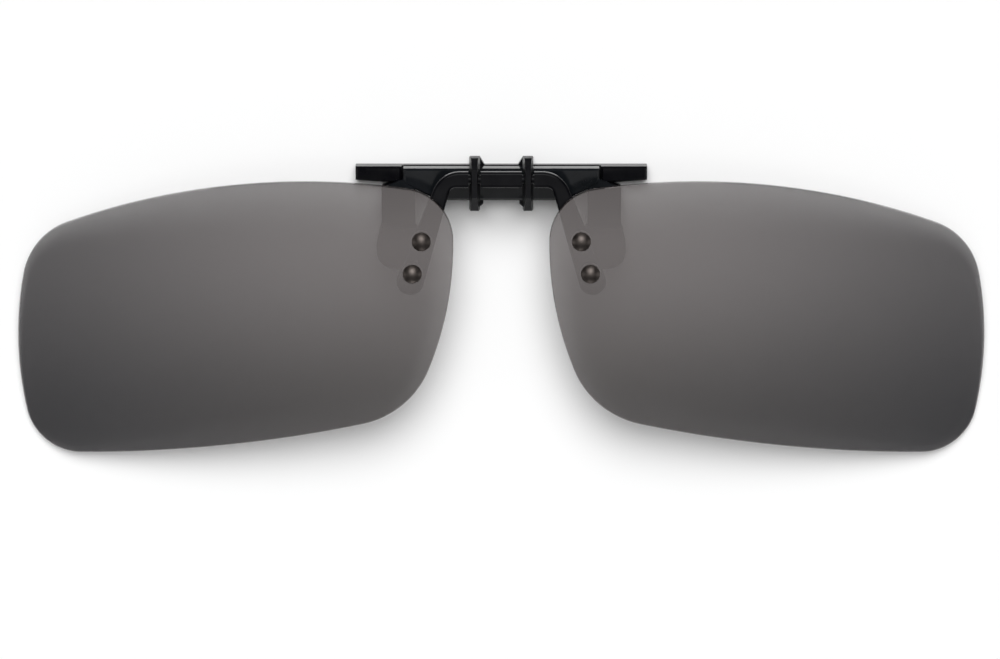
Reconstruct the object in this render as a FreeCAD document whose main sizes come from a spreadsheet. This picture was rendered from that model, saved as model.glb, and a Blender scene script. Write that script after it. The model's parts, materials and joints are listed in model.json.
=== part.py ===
"""Clip-on flip-up sunglass lenses: a sprung two-jaw clip, a hinged bridge bar and two rimless lenses.

The part lies on its back. +X runs across the lenses, +Y runs from the lenses up to the clip and
+Z runs from the resting surface out through the lens fronts. Every piece is drawn about the clip's
own datum, on the mid plane and level with the clip, and its Placement lifts it by clip_rise, which
centres the whole object on the origin. All lengths are millimetres and all angles are degrees.
"""
import FreeCAD, Part
import os
import re

import Sketcher

from FreeCAD import Rotation, Vector

DIMENSIONS = {
    # Whole object
    "clip_rise": 17.017,
    # Jaws: both plates share their outline
    "plate_half": 13.4,
    "plate_top": 1.92,
    "plate_side": -0.2,
    "plate_low": -2.48,
    "plate_low_half": 8.6,
    "front_back_z": 2.2,
    "front_deep": 2.4,
    "rear_deep": 1.45,
    "edge_bevel": 0.28,
    "rear_top_bevel": 0.35,
    # Wings of the rear jaw
    "wing_half": 20.0,
    "wing_root": 13.7,
    "wing_deep": 2.7,
    "wing_tip_low": 0.05,
    "wing_root_low": -0.4,
    # Thumb tabs of the rear jaw
    "tab_root": 2.3,
    "tab_crest": 2.95,
    "tab_outer": 4.3,
    "tab_low": 1.0,
    "tab_top": 3.0,
    "tab_deep": 1.1,
    # Tongues of both jaws
    "tongue_inner": 11.85,
    "tongue_outer": 16.4,
    "tongue_tip": -11.2,
    "tongue_round": 1.9,
    "tongue_deep": 1.0,
    "tongue_root": 0.6,
    "tongue_neck": 12.9,
    "tongue_shoulder": -0.8,
    "front_tongue_z": 3.5,
    "rear_tongue_z": 0.8,
    # Vinyl sleeves on the tongues
    "sleeve_wall": 0.6,
    "sleeve_top": -6.3,
    "sleeve_top_inner": 11.55,
    "sleeve_top_outer": 16.6,
    "sleeve_inner": 11.2,
    "sleeve_outer": 17.1,
    "sleeve_bulge": -8.6,
    "sleeve_tip": -12.0,
    "sleeve_tip_round": 2.5,
    "sleeve_side_round": 3.0,
    "sleeve_edge": 0.45,
    # Jaw pin and its knuckles
    "pin_y": 0.3,
    "pin_z": 1.9,
    "pin_radius": 0.45,
    "pin_half": 9.4,
    "pin_play": 0.05,
    "knuckle_radius": 1.05,
    "pocket_radius": 1.2,
    "front_mid_knuckle": 1.4,
    "rear_inner_from": 1.5,
    "rear_inner_to": 2.9,
    "rear_outer_from": 6.5,
    "rear_outer_to": 7.9,
    "front_outer_from": 8.0,
    "side_play": 0.1,
    # Torsion springs
    "spring_x": 3.32,
    "spring_radius": 0.84,
    "spring_wire": 0.2,
    "spring_pitch": 0.5,
    "spring_turns": 5.5,
    "spring_leg": 1.25,
    "leg_slot": 0.6,
    "leg_slot_top": 1.62,
    # Hinge saddles that carry the bridge
    "saddle_x": 3.64,
    "saddle_wide": 1.45,
    "saddle_front_wide": 0.72,
    "saddle_taper_z": 6.8,
    "saddle_taper_end_z": 10.51,
    "saddle_back_z": 3.0,
    "saddle_front_z": 10.5,
    "saddle_heel_top": 2.5,
    "saddle_top": 4.1,
    "saddle_top_back_z": 7.4,
    "saddle_top_front_z": 9.2,
    "saddle_brow": 2.7,
    "saddle_chin": -1.2,
    "saddle_foot": -3.3,
    "saddle_foot_front_z": 8.6,
    "saddle_foot_back_z": 6.4,
    "saddle_heel_low": -2.95,
    "saddle_round": 0.4,
    "spur_reach": 0.45,
    "spur_root": 0.3,
    "spur_top": -2.35,
    "spur_back_z": 4.9,
    "spur_front_z": 8.0,
    # Friction blocks behind the journals
    "block_wide": 1.1,
    "block_half": 0.72,
    "block_top_z": 8.05,
    "block_play": 0.03,
    # Bridge bar with its two legs
    "hinge_y": 1.04,
    "hinge_z": 8.5,
    "bar_half_tall": 1.1,
    "bar_deep": 1.4,
    "bar_round": 0.42,
    "bend_corner": 8.3,
    "bend_radius": 4.0,
    "inner_corner": 6.92,
    "inner_radius": 0.9,
    "leg_tip_outer": 14.88,
    "leg_tip_outer_y": -14.13,
    "leg_tip_inner": 11.17,
    "leg_tip_inner_y": -15.38,
    "leg_tip_radius": 1.8,
    "journal_radius": 0.66,
    "journal_play": 0.05,
    "journal_inner": 2.8,
    "journal_outer": 4.48,
    "journal_root": 0.4,
    # Rivets and washers
    "upper_rivet_x": 10.9,
    "upper_rivet_y": -7.25,
    "lower_rivet_x": 12.15,
    "lower_rivet_y": -11.7,
    "shank_radius": 0.6,
    "hole_radius": 0.65,
    "head_radius": 1.3,
    "head_tall": 0.65,
    "tail_radius": 1.05,
    "tail_tall": 0.5,
    "washer_radius": 1.4,
    "washer_deep": 0.2,
    # Lenses: four arcs, four corner radii and a spherical shell
    "lens_apex_x": 11.5,
    "lens_apex_y": -9.5,
    "lens_back_z": 9.45,
    "lens_deep": 1.0,
    "lens_curve": 188.0,
    "lens_bevel": 0.12,
    "top_arc_x": 25.5,
    "top_arc_y": 0.85,
    "top_arc_radius": 93.0,
    "low_arc_x": 69.5,
    "low_arc_y": -38.4,
    "low_arc_radius": 234.0,
    "temple_arc_x": 66.7,
    "temple_arc_y": -22.4,
    "temple_arc_radius": 48.8,
    "nasal_arc_x": 6.55,
    "nasal_arc_y": -7.6,
    "nasal_arc_radius": 46.9,
    "top_temple_round": 9.9,
    "low_temple_round": 7.3,
    "low_nasal_round": 12.9,
    "top_nasal_round": 7.2,
    # Stock and drills, longer than what they shape
    "stock_low": -2.0,
    "stock_tall": 16.0,
    "drill_reach": 2.0,
}

SIDES = {"left": -1, "right": 1}
RIVETS = ("upper", "lower")

doc = FreeCAD.newDocument("clip_on_flip_lenses")
sheet = doc.addObject("Spreadsheet::Sheet", "dims")
nodes = []


def fill_sheet():
    """Write each driving dimension as text with its name beside it."""
    for row, (alias, value) in enumerate(DIMENSIONS.items(), start=1):
        sheet.set(f"A{row}", alias)
        sheet.set(f"B{row}", str(value))
        sheet.setAlias(f"B{row}", alias)
    doc.recompute()


def dim(text):
    """Turn bare dimension names in an expression into sheet references."""
    return re.sub("[a-z_]+", lambda word: f"dims.{word[0]}" if word[0] in DIMENSIONS else word[0], text)


def value(text):
    return float(sheet.evalExpression(dim(text)))


def bind(item, **bound):
    """Bind properties; a double underscore stands for the dot in a property's path."""
    for path, text in bound.items():
        item.setExpression(path.replace("__", "."), dim(text))


def place(item, at):
    """Bind the three coordinates of an object's place."""
    bind(item, Placement__Base__x=at[0], Placement__Base__y=at[1], Placement__Base__z=at[2])


def finish(item, name, level="0"):
    """Name a sub-part and lift it from its level at the clip's datum into the object's frame."""
    item.Label = name
    bind(item, Placement__Base__y=f"{level} + clip_rise")
    nodes.append(item)


def signed(side, text):
    return text if side > 0 else f"-( {text} )"


def box(name, low, size):
    block = doc.addObject("Part::Box", name)
    bind(block, Length=size[0], Width=size[1], Height=size[2])
    place(block, low)
    return block


def disc(name, centre, radius, tall, turn=0):
    """An upright cylinder whose seam is turned away from the arc that is used."""
    drum = doc.addObject("Part::Cylinder", name)
    drum.Placement.Rotation = Rotation(Vector(0, 0, 1), turn)
    bind(drum, Radius=radius, Height=tall)
    place(drum, centre)
    return drum


def rod(name, start, radius, length, turn=90):
    """A cylinder along X from its start."""
    drum = doc.addObject("Part::Cylinder", name)
    drum.Placement.Rotation = Rotation(Vector(0, 1, 0), turn)
    bind(drum, Radius=radius, Height=length)
    place(drum, start)
    return drum


def prism(name, plane, corners, start, length, symmetric=False):
    """Pad a closed outline; its corners are pairs of expressions on the plane."""
    body = doc.addObject("PartDesign::Body", name)
    base = next(f for f in body.Origin.OriginFeatures if f.Role == plane)
    outline = body.newObject("Sketcher::SketchObject", f"{name}_outline")
    outline.AttachmentSupport = [(base, "")]
    outline.MapMode = "FlatFace"
    bind(outline, AttachmentOffset__Base__z=start)
    points = [Vector(value(across), value(up), 0) for across, up in corners]
    for first, second in zip(points, points[1:] + points[:1]):
        outline.addGeometry(Part.LineSegment(first, second))
    for index in range(len(points)):
        following = (index + 1) % len(points)
        outline.addConstraint(Sketcher.Constraint("Coincident", index, 2, following, 1))
    for index, corner in enumerate(corners):
        for kind, text, now in zip(("DistanceX", "DistanceY"), corner, points[index]):
            number = outline.addConstraint(Sketcher.Constraint(kind, -1, 1, index, 1, now))
            outline.setExpression(f"Constraints[{number}]", dim(text))
    pad = body.newObject("PartDesign::Pad", f"{name}_pad")
    pad.Profile = outline
    pad.SideType = "Symmetric" if symmetric else "One side"
    bind(pad, Length=length)
    doc.recompute()
    return body


def join(name, pieces):
    fused = doc.addObject("Part::MultiFuse", name)
    fused.Shapes = pieces
    fused.Refine = True
    return fused


def cut(name, base, tools):
    """Take one tool, or several joined ones, out of a base."""
    taken = doc.addObject("Part::Cut", name)
    taken.Base = base
    taken.Tool = tools[0] if len(tools) == 1 else join(f"{name}_tools", tools)
    doc.recompute()
    return taken


def common(name, pieces):
    shared = doc.addObject("Part::MultiCommon", name)
    shared.Shapes = pieces
    doc.recompute()
    return shared


def dress(kind, name, base, size, wanted):
    """Fillet or chamfer the edges of a base that the wanted test picks."""
    doc.recompute()
    amount = value(size) if isinstance(size, str) else None
    chosen = []
    for index, edge in enumerate(base.Shape.Edges, start=1):
        picked = wanted(edge)
        if picked:
            width = amount if amount is not None else size(edge)
            chosen.append((index, width, width))
    dressed = doc.addObject(kind, name)
    dressed.Base = base
    dressed.Edges = chosen
    doc.recompute()
    return dressed


def middle(edge):
    return edge.CenterOfMass


def runs_along(edge, axis):
    """True for a straight edge that lies along the axis."""
    first, last = edge.Vertexes[0].Point, edge.Vertexes[-1].Point
    span = last - first
    return span.Length > 1e-6 and abs(span.normalize().dot(axis)) > 0.999


def near(text, number, slack=0.02):
    return abs(value(text) - number) < slack


def mirrored(half):
    """Repeat the corners of a right half, in reverse, on the left."""
    return half + [(f"-( {across} )", up) for across, up in reversed(half)]


UP = Vector(0, 0, 1)
ACROSS = Vector(1, 0, 0)


def tongue(name, low, side):
    """One jaw's prong, from inside its plate to the rounded tip."""
    corners = [
        (signed(side, "tongue_inner"), "tongue_root"),
        (signed(side, "tongue_neck"), "tongue_root"),
        (signed(side, "tongue_outer"), "tongue_shoulder"),
        (signed(side, "tongue_outer"), "tongue_tip"),
        (signed(side, "tongue_inner"), "tongue_tip"),
    ]
    blank = prism(f"{name}_blank", "XY_Plane", corners, low, "tongue_deep")
    return dress(
        "Part::Fillet", name, blank, "tongue_round",
        lambda edge: runs_along(edge, UP) and near("tongue_tip", middle(edge).y),
    )


def plate(name, low, deep):
    half = [
        ("plate_half", "plate_top"),
        ("plate_half", "plate_side"),
        ("plate_low_half", "plate_low"),
    ]
    return prism(name, "XY_Plane", mirrored(half), low, deep)


def pin_line(name, start, end, radius):
    """Two rods on the pin's line, one on each side of the middle."""
    length = f"{end} - ( {start} )"
    right = rod(f"{name}_right", (start, "pin_y", "pin_z"), radius, length)
    left = rod(f"{name}_left", (f"-( {start} )", "pin_y", "pin_z"), radius, length, -90)
    return [right, left]


def pin_middle(name, half, radius):
    """One rod on the pin's line, centred on the middle."""
    return rod(name, (f"-( {half} )", "pin_y", "pin_z"), radius, f"2 * ( {half} )")


def spring_start(side):
    """Where a spring's first turn starts along X."""
    return "spring_x" if side > 0 else "-( spring_x + spring_pitch * spring_turns )"


def leg_slot(name, centre, low):
    """The slot above the pin that one spring leg presses into."""
    corner = (f"{centre} - leg_slot / 2", "pin_y", low)
    size = ("leg_slot", "leg_slot_top - pin_y", "spring_radius + spring_wire + block_play")
    return box(name, corner, size)


def make_front_jaw(tongues):
    blank = plate("front_plate_blank", "front_back_z", "front_deep")
    bevelled = dress(
        "Part::Chamfer", "front_plate", blank, "edge_bevel",
        lambda edge: near("front_back_z + front_deep", middle(edge).z),
    )
    knuckles = pin_line("front_knuckle", "front_outer_from", "pin_half", "knuckle_radius")
    knuckles.append(pin_middle("front_knuckle_middle", "front_mid_knuckle", "knuckle_radius"))
    room = pin_line("front_room", "front_mid_knuckle", "front_outer_from", "pocket_radius")
    bored = cut("front_plate_bored", bevelled, room)
    solid = join("front_jaw_solid", [bored] + knuckles + tongues)
    tools = [pin_middle("front_pin_bore", "pin_half", "pin_radius")]
    for word, side in SIDES.items():
        centre = f"{spring_start(side)} + spring_pitch * spring_turns"
        tools.append(leg_slot(f"front_leg_slot_{word}", centre, "pin_z"))
    finish(cut("front_jaw", solid, tools), "front_jaw")


def make_wing(word, side):
    """A thick wing beside the front plate and the thinner web that carries it."""
    tip = [
        (signed(side, "wing_half"), "plate_top"),
        (signed(side, "wing_half"), "wing_tip_low"),
        (signed(side, "wing_root"), "wing_root_low"),
    ]
    web_end = [
        (signed(side, "plate_half"), "wing_root_low"),
        (signed(side, "plate_half"), "plate_top"),
    ]
    web = prism(f"wing_web_{word}", "XY_Plane", tip + web_end, "0", "rear_deep")
    root_top = (signed(side, "wing_root"), "plate_top")
    blank = prism(f"wing_blank_{word}", "XY_Plane", tip + [root_top], "0", "wing_deep")
    wing = dress(
        "Part::Chamfer", f"wing_{word}", blank, "edge_bevel",
        lambda edge: near("wing_deep", middle(edge).z),
    )
    return [web, wing]


def make_tab(word, side):
    """A thumb tab that stands above the rear plate behind one saddle."""
    corners = [
        (signed(side, "tab_root"), "tab_low"),
        (signed(side, "tab_root"), "plate_top"),
        (signed(side, "tab_crest"), "tab_top"),
        (signed(side, "tab_outer"), "tab_top"),
        (signed(side, "tab_outer"), "tab_low"),
    ]
    return prism(f"tab_{word}", "XY_Plane", corners, "0", "tab_deep")


def make_rear_jaw(tongues):
    blank = plate("rear_plate_blank", "0", "rear_deep")
    bevelled = dress(
        "Part::Chamfer", "rear_plate", blank, "rear_top_bevel",
        lambda edge: near("rear_deep", middle(edge).z) and near("plate_top", middle(edge).y),
    )
    rooms = [pin_middle("rear_room_middle", "rear_inner_from", "pocket_radius")]
    rooms += pin_line("rear_room_spring", "rear_inner_to", "rear_outer_from", "pocket_radius")
    rooms += pin_line("rear_room_end", "rear_outer_to", "pin_half + side_play", "pocket_radius")
    bored = cut("rear_plate_bored", bevelled, rooms)
    pieces = [bored] + tongues
    pieces += pin_line("rear_knuckle_in", "rear_inner_from", "rear_inner_to", "knuckle_radius")
    pieces += pin_line("rear_knuckle_out", "rear_outer_from", "rear_outer_to", "knuckle_radius")
    for word, side in SIDES.items():
        pieces += make_wing(word, side)
        pieces.append(make_tab(word, side))
    solid = join("rear_jaw_solid", pieces)
    tools = [pin_middle("rear_pin_bore", "pin_half + side_play", "pin_radius + pin_play")]
    low = "pin_z - spring_radius - spring_wire - block_play"
    for word, side in SIDES.items():
        tools.append(leg_slot(f"rear_leg_slot_{word}", spring_start(side), low))
    finish(cut("rear_jaw", solid, tools), "rear_jaw")


def make_sleeve(name, low, prong, side):
    """A dipped vinyl sleeve around one prong's tip."""
    corners = [
        (signed(side, "sleeve_top_inner"), "sleeve_top"),
        (signed(side, "sleeve_top_outer"), "sleeve_top"),
        (signed(side, "sleeve_outer"), "sleeve_bulge"),
        (signed(side, "sleeve_outer"), "sleeve_tip"),
        (signed(side, "sleeve_inner"), "sleeve_tip"),
        (signed(side, "sleeve_inner"), "sleeve_bulge"),
    ]
    deep = "tongue_deep + 2 * sleeve_wall"
    blank = prism(f"{name}_blank", "XY_Plane", corners, f"{low} - sleeve_wall", deep)
    rounds = {
        value("sleeve_top"): value("sleeve_edge"),
        value("sleeve_bulge"): value("sleeve_side_round"),
        value("sleeve_tip"): value("sleeve_tip_round"),
    }
    outlined = dress(
        "Part::Fillet", f"{name}_outlined", blank, lambda edge: rounds[round(middle(edge).y, 6)],
        lambda edge: runs_along(edge, UP),
    )
    softened = dress(
        "Part::Fillet", f"{name}_softened", outlined, "sleeve_edge",
        lambda edge: not runs_along(edge, UP),
    )
    finish(cut(name, softened, [prong]), name)


def make_spring(word, side):
    """A left-handed coil on the pin with two straight legs that push the jaws' tops apart."""
    name = f"jaw_spring_{word}"
    coil_long = "spring_pitch * spring_turns"
    coil_line = doc.addObject("Part::Helix", f"{name}_line")
    coil_line.LocalCoord = "Left-handed"
    bind(coil_line, Pitch="spring_pitch", Height=coil_long, Radius="spring_radius")
    section = doc.addObject("Part::Circle", f"{name}_section")
    section.Placement.Rotation = Rotation(ACROSS, 90)
    bind(section, Radius="spring_wire")
    place(section, ("spring_radius", "0", "0"))
    doc.recompute()
    coil = doc.addObject("Part::Sweep", f"{name}_coil")
    coil.Sections = [section]
    coil.Spine = (coil_line, ["Edge1"])
    coil.Solid = True
    coil.Frenet = True
    legs = []
    ends = (("first", "0", "spring_radius"), ("last", coil_long, "-( spring_radius )"))
    for end, along, reach in ends:
        leg = doc.addObject("Part::Cylinder", f"{name}_{end}_leg")
        leg.Placement.Rotation = Rotation(ACROSS, -90)
        bind(leg, Radius="spring_wire", Height="spring_leg")
        place(leg, (reach, "0", along))
        legs.append(leg)
    spring = join(name, [coil] + legs)
    spring.Placement.Rotation = Rotation(Vector(0, 1, 0), 90)
    place(spring, (spring_start(side), "pin_y", "pin_z"))
    finish(spring, name, "pin_y")


def make_saddle(word, side):
    """A moulded eye that straddles the front plate and holds one journal of the bridge."""
    name = f"hinge_saddle_{word}"
    profile = [
        ("saddle_heel_top", "saddle_back_z"),
        ("saddle_top", "saddle_top_back_z"),
        ("saddle_top", "saddle_top_front_z"),
        ("saddle_brow", "saddle_front_z"),
        ("saddle_chin", "saddle_front_z"),
        ("saddle_foot", "saddle_foot_front_z"),
        ("saddle_foot", "saddle_foot_back_z"),
        ("saddle_heel_low", "saddle_back_z"),
        ("plate_low", "saddle_back_z"),
        ("plate_low", "front_back_z + front_deep"),
        ("plate_top", "front_back_z + front_deep"),
        ("plate_top", "saddle_back_z"),
    ]
    side_view = prism(f"{name}_side_view", "YZ_Plane", profile, "0", "stock_tall", True)
    middle_x = signed(side, "saddle_x")
    sections = [
        (f"{middle_x} - saddle_wide / 2", "0"),
        (f"{middle_x} + saddle_wide / 2", "0"),
        (f"{middle_x} + saddle_wide / 2", "saddle_taper_z"),
        (f"{middle_x} + saddle_front_wide / 2", "saddle_taper_end_z"),
        (f"{middle_x} - saddle_front_wide / 2", "saddle_taper_end_z"),
        (f"{middle_x} - saddle_wide / 2", "saddle_taper_z"),
    ]
    top_view = prism(f"{name}_top_view", "XZ_Plane", sections, "0", "stock_tall", True)
    eye = common(f"{name}_eye", [side_view, top_view])
    outer = ("saddle_top", "saddle_foot")
    softened = dress(
        "Part::Fillet", f"{name}_softened", eye, "saddle_round",
        lambda edge: runs_along(edge, ACROSS) and any(near(text, middle(edge).y) for text in outer),
    )
    spur_corners = [
        (signed(side, "saddle_x - saddle_wide / 2 + spur_root"), "spur_top"),
        (signed(side, "saddle_x - saddle_wide / 2 - spur_reach"), "spur_top"),
        (signed(side, "saddle_x - saddle_wide / 2 + spur_root"), "saddle_foot + spur_root"),
    ]
    spur = prism(f"{name}_spur", "XY_Plane", spur_corners, "spur_back_z", "spur_front_z - spur_back_z")
    whole = join(f"{name}_whole", [softened, spur])
    seat_radius = "journal_radius + journal_play"
    start = f"{middle_x} - drill_reach"
    seat = rod(f"{name}_seat", (start, "hinge_y", "hinge_z"), seat_radius, "2 * drill_reach")
    slot = box(
        f"{name}_slot",
        (start, "hinge_y - block_half - block_play", "front_back_z + front_deep"),
        ("2 * drill_reach", "2 * ( block_half + block_play )", "hinge_z - front_back_z - front_deep"),
    )
    finish(cut(name, whole, [seat, slot]), name)


def make_friction_block(word, side):
    """A block that fills a saddle's slot and drags on the journal."""
    name = f"friction_block_{word}"
    middle_x = signed(side, "saddle_x")
    low_z = "front_back_z + front_deep + block_play"
    corner = (f"{middle_x} - block_wide / 2", "hinge_y - block_half", low_z)
    blank = box(f"{name}_blank", corner, ("block_wide", "2 * block_half", f"block_top_z - ( {low_z} )"))
    start = (f"{middle_x} - drill_reach", "hinge_y", "hinge_z")
    seat = rod(f"{name}_seat", start, "journal_radius + journal_play", "2 * drill_reach")
    finish(cut(name, blank, [seat]), name)


def bridge_round(edge):
    """The corner radius that belongs to an upright edge of the bridge."""
    x, y = abs(middle(edge).x), middle(edge).y
    if near("bend_corner", x):
        return value("bend_radius")
    if near("inner_corner", x):
        return value("inner_radius")
    return value("leg_tip_radius")


def rivet_spot(word, level):
    return (signed(SIDES[word], f"{level}_rivet_x"), f"{level}_rivet_y")


def make_bridge():
    """The bar with its two bends and legs, turned down to a round journal inside each saddle."""
    half = [
        ("bend_corner", "hinge_y + bar_half_tall"),
        ("leg_tip_outer", "leg_tip_outer_y"),
        ("leg_tip_inner", "leg_tip_inner_y"),
        ("inner_corner", "hinge_y - bar_half_tall"),
    ]
    blank = prism("bridge_blank", "XY_Plane", mirrored(half), "hinge_z - bar_deep / 2", "bar_deep")
    bent = dress(
        "Part::Fillet", "bridge_bent", blank, bridge_round, lambda edge: runs_along(edge, UP)
    )
    softened = dress(
        "Part::Fillet", "bridge_softened", bent, "bar_round",
        lambda edge: abs(abs(middle(edge).z - value("hinge_z")) - value("bar_deep / 2")) < 1e-4,
    )
    gaps, journals, holes = [], [], []
    for word, side in SIDES.items():
        start = "journal_inner" if side > 0 else "-( journal_outer )"
        corner = (start, "hinge_y - drill_reach", "hinge_z - drill_reach")
        size = ("journal_outer - journal_inner", "2 * drill_reach", "2 * drill_reach")
        gaps.append(box(f"journal_gap_{word}", corner, size))
        rooted = (f"{start} - journal_root", "hinge_y", "hinge_z")
        length = "journal_outer - journal_inner + 2 * journal_root"
        journals.append(rod(f"journal_{word}", rooted, "journal_radius", length))
        for level in RIVETS:
            x, y = rivet_spot(word, level)
            low = (x, y, "hinge_z - drill_reach")
            holes.append(disc(f"leg_hole_{word}_{level}", low, "hole_radius", "2 * drill_reach"))
    parted = cut("bridge_parted", softened, gaps)
    whole = join("bridge_whole", [parted] + journals)
    finish(cut("lens_bridge", whole, holes), "lens_bridge")


def lens_round(edge):
    """The corner radius that belongs to an upright edge of the lens blank."""
    temple = abs(middle(edge).x) > value("( nasal_arc_x + temple_arc_x ) / 2")
    high = middle(edge).y > value("temple_arc_y")
    names = {
        (True, True): "top_temple_round",
        (True, False): "low_temple_round",
        (False, False): "low_nasal_round",
        (False, True): "top_nasal_round",
    }
    return value(names[(temple, high)])


def dome(name, side, extra):
    """A sphere about the lens's centre of curvature, its poles turned away from the lens."""
    ball = doc.addObject("Part::Sphere", name)
    ball.Placement.Rotation = Rotation(ACROSS, 90)
    bind(ball, Radius=f"lens_curve + {extra}")
    place(ball, (signed(side, "lens_apex_x"), "lens_apex_y", "lens_back_z - lens_curve"))
    return ball


def make_lens(word, side):
    """A lens blank bounded by four arcs, rounded at its corners and cut from a spherical shell."""
    name = f"lens_{word}"
    arcs = [
        ("top", "top_arc_x", "top_arc_y - top_arc_radius", 270),
        ("low", "low_arc_x", "low_arc_y + low_arc_radius", 90),
        ("temple", "temple_arc_x - temple_arc_radius", "temple_arc_y", 90 + 90 * side),
        ("nasal", "nasal_arc_x + nasal_arc_radius", "nasal_arc_y", 90 - 90 * side),
    ]
    discs = [
        disc(f"{name}_{arc}", (signed(side, x), y, "stock_low"), f"{arc}_arc_radius", "stock_tall", turn)
        for arc, x, y, turn in arcs
    ]
    blank = common(f"{name}_blank", discs)
    rounded = dress(
        "Part::Fillet", f"{name}_rounded", blank, lens_round, lambda edge: runs_along(edge, UP)
    )
    front = common(f"{name}_front", [rounded, dome(f"{name}_outer_dome", side, "lens_deep")])
    shell = cut(f"{name}_shell", front, [dome(f"{name}_inner_dome", side, "0")])
    bevelled = dress(
        "Part::Chamfer", f"{name}_bevelled", shell, "lens_bevel",
        lambda edge: not runs_along(edge, UP),
    )
    holes = []
    for level in RIVETS:
        x, y = rivet_spot(word, level)
        low = (x, y, "lens_back_z - drill_reach")
        holes.append(disc(f"{name}_hole_{level}", low, "hole_radius", "2 * drill_reach"))
    finish(cut(name, bevelled, holes), name)


def make_rivet(word, level):
    """A rivet with a domed head on the lens and a flat tail behind the leg."""
    name = f"rivet_{word}_{level}"
    x, y = rivet_spot(word, level)
    head_z = "lens_back_z + lens_deep"
    tail_z = "hinge_z - bar_deep / 2 - tail_tall"
    shank_long = f"{head_z} + head_tall / 2 - ( {tail_z} )"
    shank = disc(f"{name}_shank", (x, y, tail_z), "shank_radius", shank_long)
    tail = disc(f"{name}_tail", (x, y, tail_z), "tail_radius", "tail_tall")
    cap_radius = "(head_radius ^ 2 + head_tall ^ 2) / (2 * head_tall)"
    cap = doc.addObject("Part::Sphere", f"{name}_cap")
    bind(cap, Radius=cap_radius, Angle1=f"asin(({cap_radius} - head_tall) / ({cap_radius}))")
    place(cap, (x, y, f"{head_z} + head_tall - {cap_radius}"))
    finish(join(name, [shank, tail, cap]), name)


def make_washer(word, level):
    name = f"washer_{word}_{level}"
    x, y = rivet_spot(word, level)
    low = "hinge_z + bar_deep / 2"
    blank = disc(f"{name}_blank", (x, y, low), "washer_radius", "washer_deep")
    hole = disc(f"{name}_hole", (x, y, f"{low} - drill_reach"), "hole_radius", "2 * drill_reach")
    finish(cut(name, blank, [hole]), name)


def write_steps():
    """Check every object, then write each sub-part to its own file."""
    doc.recompute()
    failed = [item.Name for item in doc.Objects if {"Invalid", "Error"} & set(item.State)]
    failed += [n.Label for n in nodes if n.Shape.isNull() or not n.Shape.isValid()]
    if failed:
        raise RuntimeError(f"not built: {failed}")
    os.makedirs("parts", exist_ok=True)
    for item in nodes:
        print(f"{item.Label:24s} {item.Shape.Volume:9.3f} mm3, {len(item.Shape.Solids)} solid")
        item.Shape.exportStep(f"parts/{item.Label}.step")


def main():
    fill_sheet()
    front = {w: tongue(f"front_tongue_{w}", "front_tongue_z", s) for w, s in SIDES.items()}
    rear = {w: tongue(f"rear_tongue_{w}", "rear_tongue_z", s) for w, s in SIDES.items()}
    make_front_jaw(list(front.values()))
    make_rear_jaw(list(rear.values()))
    finish(pin_middle("jaw_pin", "pin_half", "pin_radius"), "jaw_pin", "pin_y")
    make_bridge()
    for word, side in SIDES.items():
        make_sleeve(f"front_sleeve_{word}", "front_tongue_z", front[word], side)
        make_sleeve(f"rear_sleeve_{word}", "rear_tongue_z", rear[word], side)
        make_spring(word, side)
        make_saddle(word, side)
        make_friction_block(word, side)
        make_lens(word, side)
        for level in RIVETS:
            make_rivet(word, level)
            make_washer(word, level)
    write_steps()


main()
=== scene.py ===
"""Clip-on flip-up sunglass lenses on a white table, seen from above: finishes, light and camera."""
import json
import math

import bpy
from mathutils import Matrix, Vector


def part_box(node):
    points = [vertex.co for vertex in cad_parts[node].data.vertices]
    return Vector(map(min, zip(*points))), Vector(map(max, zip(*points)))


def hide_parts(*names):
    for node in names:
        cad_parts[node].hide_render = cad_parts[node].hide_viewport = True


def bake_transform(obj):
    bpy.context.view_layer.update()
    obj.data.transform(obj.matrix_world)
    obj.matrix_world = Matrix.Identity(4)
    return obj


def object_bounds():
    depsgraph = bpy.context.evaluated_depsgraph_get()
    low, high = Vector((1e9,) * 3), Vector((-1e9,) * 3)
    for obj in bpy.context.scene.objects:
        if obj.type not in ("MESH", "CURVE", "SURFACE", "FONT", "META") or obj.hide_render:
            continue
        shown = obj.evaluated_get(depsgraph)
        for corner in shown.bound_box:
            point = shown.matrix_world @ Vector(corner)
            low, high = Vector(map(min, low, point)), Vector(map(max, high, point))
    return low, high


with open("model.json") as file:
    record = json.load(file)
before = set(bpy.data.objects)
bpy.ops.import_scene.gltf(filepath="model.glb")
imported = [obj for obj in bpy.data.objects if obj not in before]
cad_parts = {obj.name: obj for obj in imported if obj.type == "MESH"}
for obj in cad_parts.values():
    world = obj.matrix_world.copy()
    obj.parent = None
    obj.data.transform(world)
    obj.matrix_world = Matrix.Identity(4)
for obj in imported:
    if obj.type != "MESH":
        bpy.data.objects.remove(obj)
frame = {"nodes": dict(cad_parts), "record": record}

MM = 0.001
cad_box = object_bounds()
nodes = frame["nodes"]

# Sockets of ShaderNodeMix, whose names are the same for every data type
MIX_FACTOR = 0
FLOAT_A, FLOAT_B, FLOAT_RESULT = 2, 3, 0
COLOUR_A, COLOUR_B, COLOUR_RESULT = 6, 7, 2


# ---------------------------------------------------------------- node helpers

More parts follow.
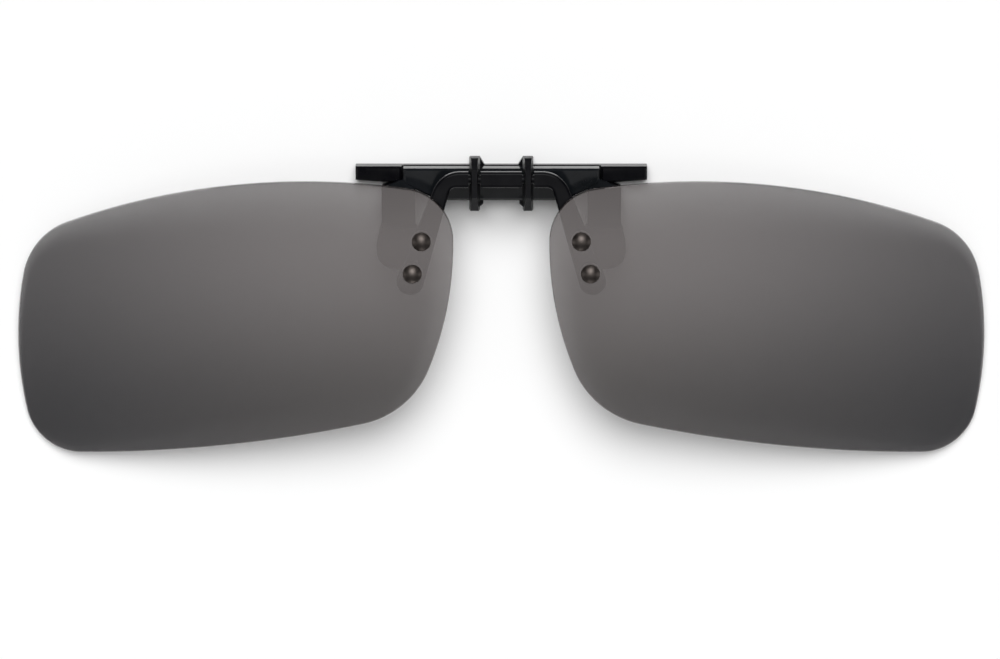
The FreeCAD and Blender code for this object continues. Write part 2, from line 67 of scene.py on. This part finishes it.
class Shader:
    """A small builder for one material's node tree around a single Principled shader."""

    def __init__(self, name, **sockets):
        self.material = bpy.data.materials.new(name)
        self.material.use_nodes = True
        self.tree = self.material.node_tree
        self.principled = next(n for n in self.tree.nodes if n.type == "BSDF_PRINCIPLED")
        for socket, value in sockets.items():
            self.principled.inputs[socket.replace("_", " ")].default_value = value
        self.place = self.tree.nodes.new("ShaderNodeTexCoord").outputs["Object"]

    def node(self, kind, **settings):
        """Add a node; each setting is one of its properties or, failing that, an input socket."""
        made = self.tree.nodes.new(kind)
        for name, value in settings.items():
            if hasattr(made, name):
                setattr(made, name, value)
            else:
                made.inputs[name.replace("_", " ")].default_value = value
        return made

    def link(self, source, node, socket):
        self.tree.links.new(source, node.inputs[socket])

    def stretched(self, scale):
        """Object coordinates stretched by a scale along each axis."""
        mapping = self.node("ShaderNodeMapping", Scale=scale)
        self.link(self.place, mapping, "Vector")
        return mapping.outputs["Vector"]

    def noise(self, per_mm, detail=3.0, stretch=(1, 1, 1)):
        """Noise with so many cells to the millimetre."""
        noise = self.node("ShaderNodeTexNoise", Scale=per_mm / MM, Detail=detail)
        self.link(self.stretched(stretch), noise, "Vector")
        return noise.outputs["Fac"]

    def spread(self, value, low, high, start=0.3, end=0.7):
        """Map start to end, which is the middle of a noise's range, onto low to high."""
        ramp = self.node("ShaderNodeMapRange", From_Min=start, From_Max=end, To_Min=low, To_Max=high)
        self.link(value, ramp, "Value")
        return ramp.outputs["Result"]

    def rough(self, value, low, high):
        """Let the roughness run from low to high with a noise."""
        self.link(self.spread(value, low, high), self.principled, "Roughness")

    def mix_base(self, factor, first, second):
        """Mix the base colour from first to second by a factor from 0 to 1."""
        mix = self.node("ShaderNodeMix", data_type="RGBA")
        self.link(factor, mix, MIX_FACTOR)
        mix.inputs[COLOUR_A].default_value = (*first, 1)
        mix.inputs[COLOUR_B].default_value = (*second, 1)
        self.link(mix.outputs[COLOUR_RESULT], self.principled, "Base Color")

    def colour(self, value, first, second):
        """Let the base colour run from first to second with a noise."""
        self.mix_base(self.spread(value, 0.0, 1.0), first, second)

    def bump(self, value, height_mm, strength):
        bump = self.node("ShaderNodeBump", Strength=strength, Distance=height_mm * MM)
        self.link(value, bump, "Height")
        self.link(bump.outputs["Normal"], self.principled, "Normal")


# ------------------------------------------------------------------- materials

def gloss_black():
    """Moulded nylon plate: near black, faint flow mottle and a soft orange-peel skin."""
    s = Shader("gloss_black", Specular_IOR_Level=0.2)
    s.colour(s.noise(0.5), (0.004, 0.005, 0.006), (0.008, 0.009, 0.011))
    s.rough(s.noise(1.1, 4), 0.08, 0.16)
    s.bump(s.noise(2.2, 2), 0.006, 0.4)
    return s.material


def bridge_black():
    """Nylon of the bar and the rear jaw: deeper black and less shiny than the front plate."""
    s = Shader("bridge_black", Specular_IOR_Level=0.10)
    s.colour(s.noise(0.5), (0.002, 0.002, 0.003), (0.005, 0.005, 0.006))
    s.rough(s.noise(1.1, 4), 0.10, 0.18)
    s.bump(s.noise(1.8, 2), 0.005, 0.4)
    return s.material


def satin_black():
    """Satin nylon with the fine grain of a spark-eroded mould."""
    s = Shader("satin_black", Specular_IOR_Level=0.11)
    s.colour(s.noise(0.8), (0.003, 0.003, 0.004), (0.006, 0.006, 0.007))
    s.rough(s.noise(3.0, 4), 0.26, 0.38)
    s.bump(s.noise(9.0, 3), 0.006, 0.4)
    return s.material


def vinyl():
    """Soft sleeve vinyl: dark brown, matt and slightly uneven."""
    s = Shader("vinyl", Specular_IOR_Level=0.3)
    s.colour(s.noise(0.6), (0.020, 0.012, 0.011), (0.032, 0.019, 0.017))
    s.rough(s.noise(0.8, 2), 0.40, 0.52)
    s.bump(s.noise(0.7, 2), 0.01, 0.25)
    return s.material


def nylon(name, first, second):
    """Plain matt nylon of the washers and friction blocks, between two colours."""
    s = Shader(name, Specular_IOR_Level=0.4)
    s.colour(s.noise(1.0), first, second)
    s.rough(s.noise(3.0), 0.4, 0.55)
    return s.material


def gunmetal():
    """Polished dark plate with faint turning marks."""
    s = Shader("gunmetal", Metallic=1.0)
    s.colour(s.noise(1.2), (0.085, 0.073, 0.067), (0.12, 0.104, 0.096))
    s.rough(s.noise(2.0, 2), 0.34, 0.44)
    s.bump(s.noise(3.0, 2), 0.002, 0.3)
    return s.material


def steel():
    """Drawn spring wire and pin stock: fine lines along the length."""
    s = Shader("steel", Metallic=1.0)
    s.colour(s.noise(1.0), (0.42, 0.42, 0.43), (0.55, 0.55, 0.55))
    s.rough(s.noise(2.0, 4, (0.15, 4, 4)), 0.22, 0.40)
    return s.material


def tinted_lens():
    """A mirror-filmed grey lens that passes part of the light; its base colour runs from warm at the
    nose to cool at the temple, a painted shading that copies the colour the light gives the lens
    there.
    """
    s = Shader("tinted_lens", Alpha=0.60, IOR=2.76, Specular_Tint=(1.0, 0.93, 0.925, 1))
    # Painted shading: the base colour turns from warm to cool with distance from the middle,
    # standing in for how the light colours the lens from nose to temple.
    warm, cool = (0.010, 0.007, 0.006), (0.005, 0.006, 0.010)
    painted_warm_to, painted_cool_from, unevenness = 20 * MM, 66 * MM, 12 * MM
    split = s.node("ShaderNodeSeparateXYZ")
    s.link(s.place, split, "Vector")
    outward = s.node("ShaderNodeMath", operation="ABSOLUTE")
    s.link(split.outputs["X"], outward, 0)
    uneven = s.node("ShaderNodeMath", operation="MULTIPLY_ADD")
    s.link(s.noise(0.08, 2), uneven, 0)
    uneven.inputs[1].default_value = unevenness
    s.link(outward.outputs[0], uneven, 2)
    s.mix_base(s.spread(uneven.outputs[0], 0.0, 1.0, painted_warm_to, painted_cool_from), warm, cool)
    s.rough(s.noise(0.12, 3), 0.030, 0.045)
    return s.material


FINISHES = {
    "gloss_black": gloss_black(),
    "satin_black": satin_black(),
    "vinyl": vinyl(),
    "nylon_dark": nylon("nylon_dark", (0.04, 0.04, 0.04), (0.06, 0.06, 0.06)),
    "nylon_clear": nylon("nylon_clear", (0.55, 0.53, 0.50), (0.66, 0.64, 0.60)),
    "gunmetal": gunmetal(),
    "steel": steel(),
    "tinted_lens": tinted_lens(),
}
DEEP_BLACK = bridge_black()
OWN_FINISH = {"lens_bridge": DEEP_BLACK, "rear_jaw": DEEP_BLACK}


def dress_nodes():
    """Give each CAD node the finish of its record slot, or its own."""
    slots = {sub["node"]: sub["material_slot"] for sub in frame["record"]["subparts"]}
    for name, node in nodes.items():
        finish = OWN_FINISH.get(name, FINISHES[slots[name]])
        for slot in node.material_slots:
            slot.link = "OBJECT"
            slot.material = finish


def twist_springs():
    """Swap each jaw spring node for a steel copy of its mesh, set in place at rest."""
    for side in ("left", "right"):
        name = f"jaw_spring_{side}"
        spring = bpy.data.objects.new(f"torsion_spring_{side}", nodes[name].data.copy())
        bpy.context.collection.objects.link(spring)
        spring.data.materials.clear()
        spring.data.materials.append(FINISHES["steel"])
        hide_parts(name)
        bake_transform(spring)


# ----------------------------------------------------------- floor, light, view

def make_floor():
    """A plain white table just under the object."""
    half, gap = 1.5, 0.02 * MM
    mesh = bpy.data.meshes.new("floor")
    corners = [(-half, -half, 0), (half, -half, 0), (half, half, 0), (-half, half, 0)]
    mesh.from_pydata(corners, [], [(0, 1, 2, 3)])
    floor = bpy.data.objects.new("floor", mesh)
    floor.location.z = cad_box[0][2] - gap
    bpy.context.collection.objects.link(floor)
    paper = Shader("white_table", Roughness=0.9, Specular_IOR_Level=0.1)
    paper.principled.inputs["Base Color"].default_value = (0.93, 0.93, 0.93, 1)
    mesh.materials.append(paper.material)


def make_world(overhead=0.94, key=7.45, gleam=0.35, seen=1.0):
    """Light the table with a soft dome, two side panels, a front panel and a key patch.

    The dome has `overhead` strength above and fades to the sides, front and back. The panels
    lie near the horizon. The key patch, of `key` strength, is high on the clip's side and only
    `gleam` times as bright in mirror reflections. The camera sees plain white, of `seen`
    strength, where it looks past the table.
    """
    side_panel, front_panel = 6.0, 10.0
    side_fade, front_fade, back_fade = 0.25, 0.22, 0.15
    key_direction = (0, 0.5, 0.866)
    world = bpy.data.worlds.new("studio")
    bpy.context.scene.world = world
    world.use_nodes = True
    tree = world.node_tree
    tree.nodes.clear()
    new, link = tree.nodes.new, tree.links.new

    def ramp(source, start, end, first, last):
        made = new("ShaderNodeMapRange")
        made.interpolation_type = "SMOOTHSTEP"
        limits = {"From Min": start, "From Max": end, "To Min": first, "To Max": last}
        for socket, value in limits.items():
            made.inputs[socket].default_value = value
        link(source, made.inputs["Value"])
        return made.outputs["Result"]

    def maths(operation, first, *others):
        """Apply an operation to one value, or in a chain to several."""
        for other in others or (None,):
            made = new("ShaderNodeMath")
            made.operation = operation
            link(first, made.inputs[0])
            if other is not None:
                link(other, made.inputs[1])
            first = made.outputs[0]
        return first

    direction = new("ShaderNodeTexCoord").outputs["Generated"]
    split = new("ShaderNodeSeparateXYZ")
    link(direction, split.inputs[0])
    sideways, along_y = maths("ABSOLUTE", split.outputs["X"]), split.outputs["Y"]
    dome = maths(
        "MULTIPLY",
        ramp(sideways, 0.10, 0.85, overhead, side_fade * overhead),
        ramp(sideways, 0.84, 0.94, 1.0, side_panel),
        ramp(along_y, -0.46, -0.14, front_fade, 1.0),
        ramp(along_y, -0.16, 0.10, 1.0, back_fade),
        ramp(along_y, -0.99, -0.94, front_panel, 1.0),
    )
    toward = new("ShaderNodeVectorMath")
    toward.operation = "DOT_PRODUCT"
    toward.inputs[1].default_value = key_direction
    link(direction, toward.inputs[0])
    rays = new("ShaderNodeLightPath").outputs
    patch = maths(
        "MULTIPLY",
        ramp(toward.outputs["Value"], 0.88, 0.98, 0.0, key),
        ramp(rays["Is Glossy Ray"], 0.0, 1.0, 1.0, gleam),
    )
    light = maths("ADD", dome, patch)
    shown = new("ShaderNodeMix")
    shown.data_type = "FLOAT"
    shown.inputs[FLOAT_B].default_value = seen
    link(rays["Is Camera Ray"], shown.inputs[MIX_FACTOR])
    link(light, shown.inputs[FLOAT_A])
    background = new("ShaderNodeBackground")
    background.inputs["Color"].default_value = (1, 1, 1, 1)
    link(shown.outputs[FLOAT_RESULT], background.inputs["Strength"])
    link(background.outputs[0], new("ShaderNodeOutputWorld").inputs["Surface"])


def make_camera():
    """A long lens, almost straight above, leaning a little to the clip's side."""
    distance, view_width, sensor = 800 * MM, 137.7 * MM, 36
    lean = math.radians(9)
    below_plate_top = 1.92 * MM
    clip_to_aim = Vector((-0.18, -21.3, 0)) * MM

    clip = Vector((0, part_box("front_jaw")[1][1] - below_plate_top, 0))
    eye = clip + distance * Vector((0, math.sin(lean), math.cos(lean)))
    aim = clip + clip_to_aim
    data = bpy.data.cameras.new("camera")
    data.sensor_width = sensor
    data.lens = sensor * distance / view_width
    data.clip_start = 0.01
    data.clip_end = 10
    camera = bpy.data.objects.new("camera", data)
    back = (eye - aim).normalized()
    right = Vector((0, 1, 0)).cross(back).normalized()
    turn = Matrix((right, back.cross(right), back)).transposed().to_4x4()
    camera.matrix_world = Matrix.Translation(eye) @ turn
    bpy.context.collection.objects.link(camera)
    bpy.context.scene.camera = camera


bpy.context.scene.view_settings.view_transform = "Standard"
dress_nodes()
twist_springs()
make_floor()
make_world()
make_camera()
